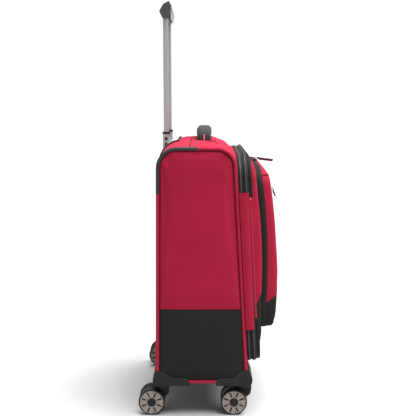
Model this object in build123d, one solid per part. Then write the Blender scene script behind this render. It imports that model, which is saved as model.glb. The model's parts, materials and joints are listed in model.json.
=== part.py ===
from build123d import *
import math
import os

# Softside upright suitcase, millimetres. +Z is up and the floor is Z = 0.
# +Y is the back, where the pull-out handle is, and -Y is the front with the pocket.
# X runs across the width. "left" is -X and "right" is +X.

# ---- case ----
HALF_WIDTH = 178.0  # over the side panels
CASE_BOTTOM = 70.0
CASE_TOP = 548.0  # at the side piping
TOP_CROWN = 11.0  # extra height of the top panel at mid-width
BACK_TOP_Y = 101.5
BACK_BOTTOM_Y = 106.0
FRONT_LEAN = 3.23  # degrees: the front plane stands further out at the bottom
FRONT_FOOT_Y = -85.8  # where the front plane would meet the floor
WALL = 3.0
SIDE_PANEL = 4.0
CORNER_RADII = [26.0, 42.0, 40.0, 26.0]  # bottom back, top back, top front, bottom front
PIPING_R = 3.5
COLOUR_SPLIT_Z = 224.5  # black below, red above
BUMPER_Z = 457.0  # the black bumper piping runs from here up and over
BUMPER_Y = 21.0

# ---- front stack, distances out from the front plane ----
RING_HALF_WIDTH = 174.0
RING_BOTTOM = 107.0
RING_TOP = 538.0
RING_RADIUS = 50.0
RING_BAND = 4.5
ZIP_TAPE = 4.8  # fixed half of the expansion zip
GUSSET_OUT = 18.2  # outer edge of the expansion gusset
FIT_GAP = 0.3
LID_HALF_WIDTH = 172.0
LID_BOTTOM = 109.0
LID_TOP = 536.0
LID_RADIUS = 48.0
LID_OUT = 38.0
LID_TOP_EDGE = (32.0, 526.0)  # out and up, where the top starts to slope back
LID_FACE_UP = (215.0, 503.0)  # the stretch where the face stands at its full distance out
LID_KNEE = (31.0, 172.0)  # out and up, where the foot starts to taper
LID_FOOT_OUT = 21.5
LID_FOOT_RISE = 12.0
LID_WALL = 2.5
LID_SPLIT = 232.0
POCKET_HALF_WIDTH = 164.0
POCKET_BOTTOM = 179.0
POCKET_TOP = 506.0
POCKET_RADII = [22.0, 22.0, 42.0, 42.0]
POCKET_ZIP_OUT = 50.0
POCKET_SPLIT = 240.0
ZIP_BAND = 5.0
HOOP_BOTTOM = 96.0
HOOP_TOP = 533.0
HOOP_RADIUS = 40.0
HOOP_BAND = 6.0
HOOP_DEPTH = 16.0  # behind the front plane
HOOP_THICK = 4.0

# ---- pull-out handle ----
TUBE_X = 60.0
TUBE_Y = 86.5
OUTER_TUBE = (26.0, 14.0)
INNER_TUBE = (20.0, 10.0)
TUBE_WALL = 1.2
OUTER_TUBE_FOOT = 84.0
OUTER_TUBE_TOP = 569.0
COLLAR_TOP = 573.0
INNER_TUBE_FOOT = 320.0
GRIP_HALF_LENGTH = 74.0
GRIP_BOTTOM = 802.0
GRIP_TOP = 837.0
RIVET_R = 2.0
RIVET_Z = [96.0, 547.5, 559.5]

# ---- casters ----
SWIVEL_X = 146.5
SWIVEL_Y = {"rear": 94.5, "front": -73.5}
TRAIL = 20.5
WHEEL_R = 27.0
WHEEL_WIDTH = 14.0
WHEEL_OFFSET = 16.5  # wheel mid-plane to the swivel axis, along X
HUB_R = 24.0
TYRE_ROUND = 1.8
CAP_R = 9.0
STEM_WIDTH = 15.0
AXLE_R = 3.0
KINGPIN_R = 5.0
FLANGE_BOTTOM = 55.0
FLANGE_TOP = 59.5
BOSS_BOTTOM = 60.0
BOSS_R = 17.0
GUARD_SKIN = 2.0
GUARD_BOTTOM = 66.0
GUARD_INNER_X = 108.0

# ---- carry handles ----
HANDLE_Y = 8.0
HANDLE_WIDTH = 28.0
HANDLE_HALF_SPAN = 92.0
HANDLE_TOP = 583.5
STRAP = 3.0
SIDE_HANDLE_Z = 330.0
SIDE_HANDLE_HALF_SPAN = 85.0
SIDE_HANDLE_OUT = 187.0

FRONT_SIN = math.sin(math.radians(FRONT_LEAN))
FRONT_COS = math.cos(math.radians(FRONT_LEAN))
FRONT = Plane(origin=(0, FRONT_FOOT_Y, 0), x_dir=(1, 0, 0), z_dir=(0, -FRONT_COS, FRONT_SIN))
# Same origin, seen from the side: local x runs out of the front plane, local y up along it.
FRONT_SIDE = Plane(origin=(0, FRONT_FOOT_Y, 0), x_dir=(0, -FRONT_COS, FRONT_SIN), z_dir=(-1, 0, 0))
SIDES = {"left": -1, "right": 1}


def rounded(points, radii):
    """A closed face through the points, with one corner radius or a list of them."""
    return make_face(FilletPolyline(*points, radius=radii, close=True))


def prism(plane, face, low, high):
    """The face, drawn in the plane's own axes, as a solid from low to high along its normal."""
    return extrude(plane.offset(low) * face, amount=high - low)


def box(low, high):
    """A box from its lowest corner to its highest."""
    size = [h - l for l, h in zip(low, high)]
    middle = [(h + l) / 2 for l, h in zip(low, high)]
    return Pos(*middle) * Box(*size)


def front_y(z):
    """Y of the front plane at height z."""
    return FRONT_FOOT_Y + z * FRONT_SIN / FRONT_COS


def back_y(z):
    """Y of the back panel's outer face at height z."""
    share = (z - CASE_BOTTOM) / (CASE_TOP - CASE_BOTTOM)
    return BACK_BOTTOM_Y + share * (BACK_TOP_Y - BACK_BOTTOM_Y)


def crown(x):
    """Extra height of the top panel at width x."""
    return TOP_CROWN * (1 - (x / HALF_WIDTH) ** 2)


def side_outline(inset=0.0, rise=0.0):
    """The case seen from the side, drawn in (Y, Z), inset by a wall and raised at the top."""
    low = CASE_BOTTOM + inset
    high = CASE_TOP + rise - inset
    points = [
        (back_y(low) - inset, low),
        (back_y(high) - inset, high),
        (front_y(high) + inset, high),
        (front_y(low) + inset, low),
    ]
    return rounded(points, [max(r - inset, 3.0) for r in CORNER_RADII])


def crowned_case(half_width, inset):
    """The case volume with its top rising towards mid-width."""
    stations = [-half_width, -0.6 * half_width, 0.0, 0.6 * half_width, half_width]
    faces = [Plane.YZ.offset(x) * side_outline(inset, crown(x)) for x in stations]
    return loft(faces, ruled=True)


def front_outline(half_width, bottom, top, radii):
    """A rounded rectangle in the front plane."""
    points = [(-half_width, bottom), (half_width, bottom), (half_width, top), (-half_width, top)]
    return rounded(points, radii)


def front_ring(half_width, bottom, top, radius, band, low, high):
    """A hoop of the given band width, standing on the front plane from low to high."""
    outer = front_outline(half_width, bottom, top, radius)
    inner = front_outline(half_width - band, bottom + band, top - band, radius - band)
    return prism(FRONT, outer - inner, low, high)


def front_point(x, out, up):
    """A point given by its width, distance out of the front plane and distance up along it."""
    y = FRONT_FOOT_Y - out * FRONT_COS + up * FRONT_SIN
    z = out * FRONT_SIN + up * FRONT_COS
    return (x, y, z)


def upright_tube(x, size, low, high, wall):
    """A rounded rectangular tube standing on the handle line."""
    outer = RectangleRounded(size[0], size[1], 3.0)
    inner = RectangleRounded(size[0] - 2 * wall, size[1] - 2 * wall, 2.0)
    return prism(Plane((x, TUBE_Y, 0)), outer - inner, low, high)


def tube_core(x, size, low, high, clearance):
    """The solid space that a tube takes, grown by a clearance."""
    face = RectangleRounded(size[0] + 2 * clearance, size[1] + 2 * clearance, 3.0)
    return prism(Plane((x, TUBE_Y, 0)), face, low, high)


def strap_arch(half_span, reach, thickness, ramp):
    """A flat-topped arch in local (x, y), standing on y = 0, as a strip of even thickness."""
    outer = [
        (-half_span, 0),
        (-half_span, 4),
        (-half_span + ramp, reach),
        (half_span - ramp, reach),
        (half_span, 4),
        (half_span, 0),
    ]
    inner = [
        (half_span - thickness, 0),
        (half_span - thickness, 2),
        (half_span - ramp - thickness / 2, reach - thickness),
        (-half_span + ramp + thickness / 2, reach - thickness),
        (-half_span + thickness, 2),
        (-half_span + thickness, 0),
    ]
    return make_face(Polyline(*outer, *inner, close=True))


parts = {}

# ---- case shell ----
outer_case = crowned_case(HALF_WIDTH, 0.0)
hollow = crowned_case(HALF_WIDTH, WALL)
opening_face = front_outline(
    RING_HALF_WIDTH - RING_BAND, RING_BOTTOM + RING_BAND, RING_TOP - RING_BAND, RING_RADIUS - RING_BAND
)
front_opening = prism(FRONT, opening_face, -30.0, 10.0)
shell = outer_case - hollow - front_opening
TOP_PANEL_FROM = 500.0
BOTTOM_PANEL_TO = 98.0
BOTTOM_PANEL_FRONT_TO = 140.0  # the front wall runs on up into the corners under the opening
GUSSET_X = HALF_WIDTH - 2 * PIPING_R

top_zone = box((-GUSSET_X, -200, TOP_PANEL_FROM), (GUSSET_X, 200, 700))
back_zone = box((-GUSSET_X, 0, BOTTOM_PANEL_TO), (GUSSET_X, 200, TOP_PANEL_FROM))
bottom_zone = box((-GUSSET_X, -200, 0), (GUSSET_X, 200, BOTTOM_PANEL_TO))
bottom_zone += box((-GUSSET_X, -200, 0), (GUSSET_X, 0, BOTTOM_PANEL_FRONT_TO))

outer_cores = [tube_core(s * TUBE_X, OUTER_TUBE, OUTER_TUBE_FOOT, 600, 0.0) for s in (-1, 1)]
strap_slots = [
    box(
        (s * (HANDLE_HALF_SPAN - STRAP / 2) - 2.5, HANDLE_Y - 12.5, CASE_TOP - 60),
        (s * (HANDLE_HALF_SPAN - STRAP / 2) + 2.5, HANDLE_Y + 12.5, CASE_TOP + 60),
    )
    for s in (-1, 1)
]

BEZEL_HALF = 86.0
BEZEL_FRONT_Y = 59.0
BEZEL_LOW_Z = 524.0
bezel_zone = box((-BEZEL_HALF, BEZEL_FRONT_Y, BEZEL_LOW_Z), (BEZEL_HALF, 200, 700))
BEZEL_PROUD = 1.6
proud_case = crowned_case(HALF_WIDTH, -BEZEL_PROUD)
bezel = (proud_case - hollow) & bezel_zone

top_panel = (shell & top_zone) - bezel_zone
for cut in strap_slots:
    top_panel -= cut
back_panel = (shell & back_zone) - bezel_zone
for cut in outer_cores:
    bezel -= cut
parts["top_panel"] = top_panel
parts["back_panel"] = back_panel
parts["bottom_panel"] = shell & bottom_zone
parts["handle_bezel"] = bezel

# Side panels: a red upper piece and a black lower piece, inside the piping.
panel_face = side_outline(2 * PIPING_R, 0.0)
for side, s in SIDES.items():
    inner_x = s * (HALF_WIDTH - SIDE_PANEL)
    low, high = sorted((inner_x, s * HALF_WIDTH))
    panel = prism(Plane.YZ, panel_face, low, high)
    parts[f"side_panel_{side}"] = panel & box((-300, -300, COLOUR_SPLIT_Z), (300, 300, 900))
    parts[f"side_base_{side}"] = panel & box((-300, -300, 0), (300, 300, COLOUR_SPLIT_Z))

# Welt piping along both side edges: red, with a black bumper over the top rear corner.
piping = None
for s in SIDES.values():
    path = (Plane.YZ.offset(s * (HALF_WIDTH - PIPING_R)) * side_outline(PIPING_R)).face().outer_wire()
    start = Plane(origin=path @ 0, z_dir=path % 0)
    welt = sweep(start * Circle(PIPING_R - 0.02), path=path)
    piping = welt if piping is None else piping + welt
bumper_zone = box((-300, BUMPER_Y, BUMPER_Z), (300, 300, 700))
parts["piping"] = piping - bumper_zone
parts["corner_bumpers"] = piping & bumper_zone

# The stiff hoop that keeps the front opening in shape, inside the case.
hoop_size = (GUSSET_X, HOOP_BOTTOM, HOOP_TOP, HOOP_RADIUS, HOOP_BAND)
hoop = front_ring(*hoop_size, -HOOP_DEPTH, -HOOP_DEPTH + HOOP_THICK)
parts["frame_hoop"] = hoop & hollow

# The stiff sheet between the tube channel and the packing space.
BOARD_Y = 74.5
parts["back_board"] = box((-168.0, BOARD_Y - 2.0, CASE_BOTTOM + 6), (168.0, BOARD_Y, 538.0))

# ---- front stack ----
parts["expansion_zip"] = front_ring(
    RING_HALF_WIDTH, RING_BOTTOM, RING_TOP, RING_RADIUS, RING_BAND, 0.0, ZIP_TAPE
)
parts["expansion_gusset"] = front_ring(
    RING_HALF_WIDTH, RING_BOTTOM, RING_TOP, RING_RADIUS, RING_BAND, ZIP_TAPE + FIT_GAP, GUSSET_OUT
)

LID_BACK = GUSSET_OUT + FIT_GAP


def lid_volume(inset):
    """The lid as a solid, inset by a wall on all but its back."""
    profile = [
        (LID_BACK - (inset > 0), LID_BOTTOM + inset),
        (LID_BACK - (inset > 0), LID_TOP - inset),
        (LID_TOP_EDGE[0] - inset, LID_TOP_EDGE[1] - inset),
        (LID_OUT - inset, LID_FACE_UP[1]),
        (LID_OUT - inset, LID_FACE_UP[0]),
        (LID_KNEE[0] - inset, LID_KNEE[1]),
        (LID_FOOT_OUT - inset, LID_BOTTOM + LID_FOOT_RISE + inset),
    ]
    side = make_face(Polyline(*profile, close=True))
    front = front_outline(
        LID_HALF_WIDTH - inset, LID_BOTTOM + inset, LID_TOP - inset, LID_RADIUS - inset
    )
    return prism(FRONT_SIDE, side, -200, 200) & prism(FRONT, front, 0, 80)


lid = lid_volume(0.0) - lid_volume(LID_WALL)
lid_low = prism(FRONT, Pos(0, LID_SPLIT / 2) * Rectangle(500, LID_SPLIT), -50, 100)
parts["lid_panel"] = lid - lid_low
parts["lid_base"] = lid & lid_low

pocket_outer = front_outline(POCKET_HALF_WIDTH, POCKET_BOTTOM, POCKET_TOP, POCKET_RADII)
pocket_inner = front_outline(
    POCKET_HALF_WIDTH - ZIP_BAND,
    POCKET_BOTTOM + ZIP_BAND,
    POCKET_TOP - ZIP_BAND,
    [r - ZIP_BAND for r in POCKET_RADII],
)
zip_band = prism(FRONT, pocket_outer - pocket_inner, 30.0, POCKET_ZIP_OUT)
parts["pocket_zip"] = zip_band - lid_volume(0.0)

DOOR_BACK = POCKET_ZIP_OUT + FIT_GAP


def door_volume(inset):
    """The pocket's front as a solid, inset by a wall on all but its back."""
    profile = [
        (DOOR_BACK - (inset > 0), POCKET_BOTTOM + inset),
        (56.0 - inset, POCKET_BOTTOM + inset),
        (61.5 - inset, 204.0),
        (68.5 - inset, 258.0),
        (70.8 - inset, 300.0),
        (70.8 - inset, 390.0),
        (67.0 - inset, 455.0),
        (62.0 - inset, 486.0 - inset),
        (DOOR_BACK + 1.5, POCKET_TOP - inset),
        (DOOR_BACK - (inset > 0), POCKET_TOP - inset),
    ]
    side = make_face(Polyline(*profile, close=True))
    front = front_outline(
        POCKET_HALF_WIDTH - inset,
        POCKET_BOTTOM + inset,
        POCKET_TOP - inset,
        [r - inset for r in POCKET_RADII],
    )
    return prism(FRONT_SIDE, side, -200, 200) & prism(FRONT, front, 0, 120)


door = door_volume(0.0) - door_volume(LID_WALL)
door_low = prism(FRONT, Pos(0, POCKET_SPLIT / 2) * Rectangle(500, POCKET_SPLIT), 0, 150)
parts["pocket_front"] = door - door_low
parts["pocket_base"] = door & door_low

# ---- zip sliders and pulls ----


def slider_block(length, width, height):
    """A zip slider: a rounded block with a bridge on top."""
    body = prism(Plane.XY, RectangleRounded(width, length, 2.0), 0, height)
    bridge = prism(Plane.XY, RectangleRounded(3.0, length * 0.6, 1.0), height, height + 2.0)
    return body + bridge


def pull_tab(length, width, thickness):
    """A pull tab lying along local +Y from the origin."""
    face = Pos(0, length / 2) * RectangleRounded(width, length, width / 2.5)
    return prism(Plane.XY, face, -thickness / 2, thickness / 2)


# Top of the pocket zip: the slider rides above the band and its pull points forward.
POCKET_SLIDER_X = 0.0
slider_up = Plane(
    front_point(POCKET_SLIDER_X, 44.0, POCKET_TOP), x_dir=(1, 0, 0), z_dir=(0, FRONT_SIN, FRONT_COS)
)
parts["pocket_slider"] = slider_up * slider_block(9.0, 8.0, 3.0)
PULL_TIP_Y = -142.0
PULL_Y = -104.5
PULL_Z = 513.3
PULL_DROP = 6.0  # degrees below level
pull_plane = Plane((POCKET_SLIDER_X, PULL_Y, PULL_Z), x_dir=(-1, 0, 0), z_dir=(0, 0, 1)).rotated(
    (PULL_DROP, 0, 0)
)
pull_length = (PULL_Y - PULL_TIP_Y) / math.cos(math.radians(PULL_DROP))
parts["pocket_pull"] = pull_plane * pull_tab(pull_length, 11.0, 3.6)

# Quick-access zip across the pocket's face.
FRONT_ZIP_UP = 452.0
FRONT_ZIP_OUT = 67.3
FRONT_SLIDER_X = -70.0
slope = Plane(
    front_point(FRONT_SLIDER_X, FRONT_ZIP_OUT, FRONT_ZIP_UP),
    x_dir=(1, 0, 0),
    z_dir=(0, -FRONT_COS, FRONT_SIN),
)
parts["front_slider"] = slope.offset(0.3) * Rot(0, 0, 90) * slider_block(9.0, 8.0, 2.6)
front_pull_plane = Plane(
    front_point(FRONT_SLIDER_X, FRONT_ZIP_OUT + 6.6, FRONT_ZIP_UP - 0.5),
    x_dir=(-1, 0, 0),
    z_dir=(0, -1, 0),
)
parts["front_pull"] = front_pull_plane * pull_tab(24.0, 9.0, 2.6)

# Main zip slider on the right-hand run, with its pull hanging beside the gusset.
MAIN_SLIDER_UP = 430.0
MAIN_SLIDER_OUT = 15.0
main_plane = Plane(
    front_point(RING_HALF_WIDTH, MAIN_SLIDER_OUT, MAIN_SLIDER_UP),
    x_dir=(0, -FRONT_COS, FRONT_SIN),
    z_dir=(1, 0, 0),
)
parts["main_slider"] = main_plane.offset(0.3) * slider_block(10.0, 5.5, 2.4)
main_pull_plane = main_plane.offset(5.8)
parts["main_pull"] = main_pull_plane * pull_tab(32.0, 9.0, 2.0)

# ---- pull-out handle ----
outer_tubes = None
inner_tubes = None
collars = None
rivets = None
lock_bolts = None
push_rods = None
BOLT_Z = INNER_TUBE_FOOT + 10.0
ROD_FOOT = BOLT_Z + 12.0
for s in (-1, 1):
    x = s * TUBE_X
    outer = upright_tube(x, OUTER_TUBE, OUTER_TUBE_FOOT, OUTER_TUBE_TOP, TUBE_WALL)
    collar_face = RectangleRounded(OUTER_TUBE[0] + 1.0, OUTER_TUBE[1] + 1.0, 3.0)
    collar_hole = RectangleRounded(INNER_TUBE[0] + 0.6, INNER_TUBE[1] + 0.6, 3.0)
    collar = prism(Plane((x, TUBE_Y, 0)), collar_face - collar_hole, OUTER_TUBE_TOP, COLLAR_TOP)
    for z in RIVET_Z:
        for t in (-1, 1):
            wall_x = x + t * (OUTER_TUBE[0] / 2 - TUBE_WALL)
            rivet_plane = Plane((wall_x, TUBE_Y, z), z_dir=(t, 0, 0))
            shank = prism(rivet_plane, Circle(RIVET_R), 0.0, TUBE_WALL)
            head = prism(rivet_plane, Circle(RIVET_R + 1.2), TUBE_WALL, TUBE_WALL + 0.8)
            outer -= prism(rivet_plane, Circle(RIVET_R), -1.0, TUBE_WALL + 1.0)
            rivets = shank + head if rivets is None else rivets + shank + head
    inner = upright_tube(x, INNER_TUBE, INNER_TUBE_FOOT, GRIP_BOTTOM + 8.0, 1.0)
    bolt = prism(
        Plane((x, TUBE_Y, 0)),
        RectangleRounded(INNER_TUBE[0] - 2.4, INNER_TUBE[1] - 2.4, 2.0),
        BOLT_Z - 8,
        BOLT_Z,
    )
    rod = prism(Plane((x, TUBE_Y, 0)), Circle(2.0), ROD_FOOT, GRIP_BOTTOM + 14.0)
    outer_tubes = outer if outer_tubes is None else outer_tubes + outer
    inner_tubes = inner if inner_tubes is None else inner_tubes + inner
    collars = collar if collars is None else collars + collar
    lock_bolts = bolt if lock_bolts is None else lock_bolts + bolt
    push_rods = rod if push_rods is None else push_rods + rod
bezel_holes = [tube_core(s * TUBE_X, OUTER_TUBE, 500, 600, 2.2) for s in (-1, 1)]
for cut in bezel_holes:
    parts["handle_bezel"] -= cut
parts["outer_tubes"] = outer_tubes
parts["tube_collars"] = collars
parts["tube_rivets"] = rivets
parts["inner_tubes"] = inner_tubes
parts["lock_bolts"] = lock_bolts

# The foot that ties both outer tubes to the bottom of the case.
foot = box((-TUBE_X - 22, TUBE_Y - 10, CASE_BOTTOM + WALL), (TUBE_X + 22, TUBE_Y + 9, OUTER_TUBE_FOOT))
parts["tube_foot"] = foot & hollow

# Grip: a leaf-shaped bar with a hollow for the button, its bridge and the spring.


def grip_section(inset):
    """The grip seen from its end, in (Y, Z)."""
    points = [
        (91.5 - inset, GRIP_BOTTOM + inset),
        (99.2 - 1.6 * inset, 816.5),
        (90.5 - inset, 831.0 - inset),
        (79.0 - 0.2 * inset, GRIP_TOP - 1.8 * inset),
        (75.0 + inset, 829.0 - 0.6 * inset),
        (76.5 + inset, 818.0),
        (82.0 + 0.6 * inset, GRIP_BOTTOM + inset),
    ]
    return rounded(points, [2.0, 5.0, 8.0, 1.0, 3.0, 8.0, 2.0])


GRIP_WALL = 2.2
FASCIA_HALF = 58.0
grip_solid = prism(Plane.YZ, grip_section(0.0), -GRIP_HALF_LENGTH, GRIP_HALF_LENGTH)
grip_hollow = prism(Plane.YZ, grip_section(GRIP_WALL), -GRIP_HALF_LENGTH + 3, GRIP_HALF_LENGTH - 3)
BUTTON_HALF = 17.0
BUTTON_Y = (81.5, 90.5)
button_well = box(
    (-BUTTON_HALF - 0.4, BUTTON_Y[0] - 0.4, 822), (BUTTON_HALF + 0.4, BUTTON_Y[1] + 0.4, 850)
)
fascia_zone = box((-FASCIA_HALF, 60, 803.5), (FASCIA_HALF, 77.2, 833))
grip = grip_solid - grip_hollow - button_well - fascia_zone
for s in (-1, 1):
    grip -= tube_core(s * TUBE_X, INNER_TUBE, 790, GRIP_BOTTOM + 8.0, 0.0)
parts["grip_shell"] = grip
fascia_face = rounded(
    [(77.1, 804.5), (77.1, 832.5), (75.6, 832.5), (73.6, 821.0), (75.8, 804.5)],
    [0.3, 0.3, 0.6, 6.0, 0.6],
)
fascia = prism(Plane.YZ, fascia_face, -FASCIA_HALF + 0.2, FASCIA_HALF - 0.2) - grip_hollow
parts["grip_fascia"] = fascia - grip

BRIDGE_Z = (814.0, 818.0)
button_top = prism(Plane.YZ, grip_section(-1.2), -BUTTON_HALF, BUTTON_HALF)
button = button_top & box(
    (-BUTTON_HALF, BUTTON_Y[0], BRIDGE_Z[1]), (BUTTON_HALF, BUTTON_Y[1], 850)
)
bridge = box((-TUBE_X - 4, 83.5, BRIDGE_Z[0]), (TUBE_X + 4, 89.5, BRIDGE_Z[1]))
parts["release_button"] = button
parts["push_rods"] = (push_rods - bridge) + bridge
SPRING_LOW = 805.5
spring_path = Pos(0, 86.5, SPRING_LOW) * Helix(
    pitch=1.6, height=BRIDGE_Z[0] - SPRING_LOW - 0.8, radius=2.3
)
spring_start = Plane(origin=spring_path @ 0, z_dir=spring_path % 0)
parts["button_spring"] = sweep(spring_start * Circle(0.35), path=spring_path, is_frenet=True)

# ---- carry handles ----
arch = strap_arch(HANDLE_HALF_SPAN, HANDLE_TOP - CASE_TOP - 8.0, STRAP, 30.0)
arch_plane = Plane((0, HANDLE_Y, CASE_TOP + 8.0), x_dir=(1, 0, 0), z_dir=(0, -1, 0))
strap_body = prism(arch_plane, arch, -12.0, 12.0)
pad_face = RectangleRounded(2 * (HANDLE_HALF_SPAN - 34.0), 9.5, 3.0)
pad = prism(
    Plane((0, HANDLE_Y, HANDLE_TOP - 4.75), x_dir=(1, 0, 0), z_dir=(0, -1, 0)),
    pad_face,
    -HANDLE_WIDTH / 2,
    HANDLE_WIDTH / 2,
)
carry = strap_body + pad
for s in (-1, 1):
    leg_x = s * (HANDLE_HALF_SPAN - STRAP / 2)
    leg = box(
        (leg_x - STRAP / 2, HANDLE_Y - 12.0, CASE_TOP - 24.0),
        (leg_x + STRAP / 2, HANDLE_Y + 12.0, CASE_TOP + 9.0),
    )
    stop = box(
        (leg_x - 7.0, HANDLE_Y - 12.0, CASE_TOP - 26.0),
        (leg_x + 7.0, HANDLE_Y + 12.0, CASE_TOP - 22.0),
    )
    carry += leg + stop
parts["carry_handle"] = carry

side_plane = Plane((HALF_WIDTH + 0.3, 20.0, SIDE_HANDLE_Z), x_dir=(0, 0, 1), z_dir=(0, 1, 0))
side_pad = prism(
    side_plane,
    Pos(0, (SIDE_HANDLE_OUT - HALF_WIDTH - 0.3) / 2)
    * RectangleRounded(2 * SIDE_HANDLE_HALF_SPAN - 30, SIDE_HANDLE_OUT - HALF_WIDTH - 0.3, 3.0),
    -14.0,
    14.0,
)
side_handle = side_pad
for s in (-1, 1):
    leg_z = SIDE_HANDLE_Z + s * (SIDE_HANDLE_HALF_SPAN - 1.5)
    inner_z = SIDE_HANDLE_Z + s * (SIDE_HANDLE_HALF_SPAN - 17.0)
    low, high = sorted((leg_z + s * 1.5, inner_z))
    side_handle += box((HALF_WIDTH + 0.3, 8.0, low), (HALF_WIDTH + 3.3, 32.0, high))
    side_handle += box((HALF_WIDTH - 24.0, 8.0, leg_z - 1.5), (HALF_WIDTH + 2.0, 32.0, leg_z + 1.5))
    side_handle += box((HALF_WIDTH - 27.0, 8.0, leg_z - 7.0), (HALF_WIDTH - 23.0, 32.0, leg_z + 7.0))
    slot = box((HALF_WIDTH - 10.0, 7.5, leg_z - 2.2), (HALF_WIDTH + 1.0, 32.5, leg_z + 2.2))
    parts["side_panel_right"] -= slot
parts["side_handle"] = side_handle

# ---- corner guards ----
case_space = prism(Plane.YZ, side_outline(0.0), -HALF_WIDTH, HALF_WIDTH)
ring_space = prism(
    FRONT, front_outline(RING_HALF_WIDTH + 1, RING_BOTTOM - 1.5, RING_TOP, RING_RADIUS + 1), -1, 60
)
rear_profile = rounded(
    [(35, GUARD_BOTTOM), (42, 83), (74, 83), (90, 96), (108.2, 96), (112, 78), (109, GUARD_BOTTOM)],
    [2, 4, 12, 8, 3, 10, 8],
)
front_profile = rounded(
    [(-15, GUARD_BOTTOM), (-20, 82), (-50, 83), (-66, 98), (-83, 99), (-90.5, 78), (-87, GUARD_BOTTOM)],
    [2, 4, 12, 8, 3, 10, 8],
)
profiles = {"rear": rear_profile, "front": front_profile}
kingpins = None
for end, profile in profiles.items():
    for side, s in SIDES.items():
        low, high = sorted((s * GUARD_INNER_X, s * (HALF_WIDTH + GUARD_SKIN)))
        guard = prism(Plane.YZ, profile, low, high)
        boss_at = Plane((s * SWIVEL_X, SWIVEL_Y[end], 0))
        guard += prism(boss_at, Circle(BOSS_R), BOSS_BOTTOM, CASE_BOTTOM + 1)
        guard = guard - case_space - ring_space
        guard -= prism(boss_at, Circle(KINGPIN_R), BOSS_BOTTOM - 1, CASE_BOTTOM + 10)
        parts[f"corner_guard_{end}_{side}"] = guard
        pin = prism(boss_at, Circle(KINGPIN_R), 51.0, CASE_BOTTOM)
        pin += prism(boss_at, Circle(6.0), 51.0, 53.0)
        kingpins = pin if kingpins is None else kingpins + pin
parts["swivel_kingpins"] = kingpins

# ---- casters ----


def caster_fork(x, y):
    """The swivelling stem between the two wheels, with its flange, bore and window."""
    at = Plane((x, y, 0))
    profile = rounded(
        [
            (y - 16.0, FLANGE_BOTTOM + 1),
            (y + 15.0, FLANGE_BOTTOM + 1),
            (y + TRAIL + 9.0, 33.0),
            (y + TRAIL + 7.0, 19.0),
            (y + TRAIL - 8.0, 19.0),
            (y - 14.0, 40.0),
        ],
        [1.0, 3.0, 8.0, 8.0, 10.0, 10.0],
    )
    fork = prism(Plane.YZ, profile, x - STEM_WIDTH / 2, x + STEM_WIDTH / 2)
    fork += prism(at, Circle(16.0), FLANGE_BOTTOM, FLANGE_TOP)
    fork -= prism(at, Circle(KINGPIN_R + 0.05), 50.0, 70.0)
    fork -= prism(at, Circle(6.3), 50.5, 53.4)
    window = Plane((x - 20.0, y + 12.5, 45.5), x_dir=(0, 1, 0), z_dir=(1, 0, 0))
    fork -= prism(window, RectangleRounded(8.0, 4.0, 1.5), 0.0, 40.0)
    axle_line = Plane((x - 40.0, y + TRAIL, WHEEL_R), z_dir=(1, 0, 0))
    fork -= prism(axle_line, Circle(AXLE_R), 0.0, 80.0)
    return fork


def wheel(x, y, outward):
    """One wheel: a slotted hub with a centre cap, and its tyre round it."""
    near = x - outward * WHEEL_WIDTH / 2
    at = Plane((near, y, WHEEL_R), z_dir=(outward, 0, 0))
    hub = prism(at, Circle(HUB_R), 0.6, WHEEL_WIDTH - 0.8)
    hub += prism(at, Circle(CAP_R), WHEEL_WIDTH - 0.8, WHEEL_WIDTH)
    hub -= prism(at, Circle(AXLE_R + 0.05), -1.0, WHEEL_WIDTH - 2.0)
    for k in range(8):
        slot = Rot(0, 0, 22.5 + 45 * k) * Pos(17.0, 0) * RectangleRounded(9.4, 2.0, 0.8)
        hub -= prism(at, slot, WHEEL_WIDTH - 2.0, WHEEL_WIDTH)
    tyre = prism(at, Circle(WHEEL_R) - Circle(HUB_R), 0.0, WHEEL_WIDTH)
    circles = tyre.edges().filter_by(GeomType.CIRCLE)
    rim = circles.filter_by(lambda e: abs(e.radius - WHEEL_R) < 0.1)
    tyre = fillet(rim, TYRE_ROUND)
    return Compound(children=[hub.solid(), tyre.solid()])


for end, y in SWIVEL_Y.items():
    for side, s in SIDES.items():
        x = s * SWIVEL_X
        parts[f"fork_{end}_{side}"] = caster_fork(x, y)
        axle_at = Plane((x - WHEEL_OFFSET - 4.8, y + TRAIL, WHEEL_R), z_dir=(1, 0, 0))
        parts[f"axle_{end}_{side}"] = prism(axle_at, Circle(AXLE_R), 0.0, 2 * WHEEL_OFFSET + 9.6)
        for place, outward in (("outer", s), ("inner", -s)):
            wheel_x = x + outward * WHEEL_OFFSET
            parts[f"wheel_{end}_{side}_{place}"] = wheel(wheel_x, y + TRAIL, outward)

os.makedirs("parts", exist_ok=True)
for name, shape in parts.items():
    export_step(shape, f"parts/{name}.step")
print(len(parts), "nodes")
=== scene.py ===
import json
from math import asin, atan2, cos, exp, hypot, pi, radians, sin, sqrt, tan

import bmesh
import bpy
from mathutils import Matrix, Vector, noise


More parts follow.
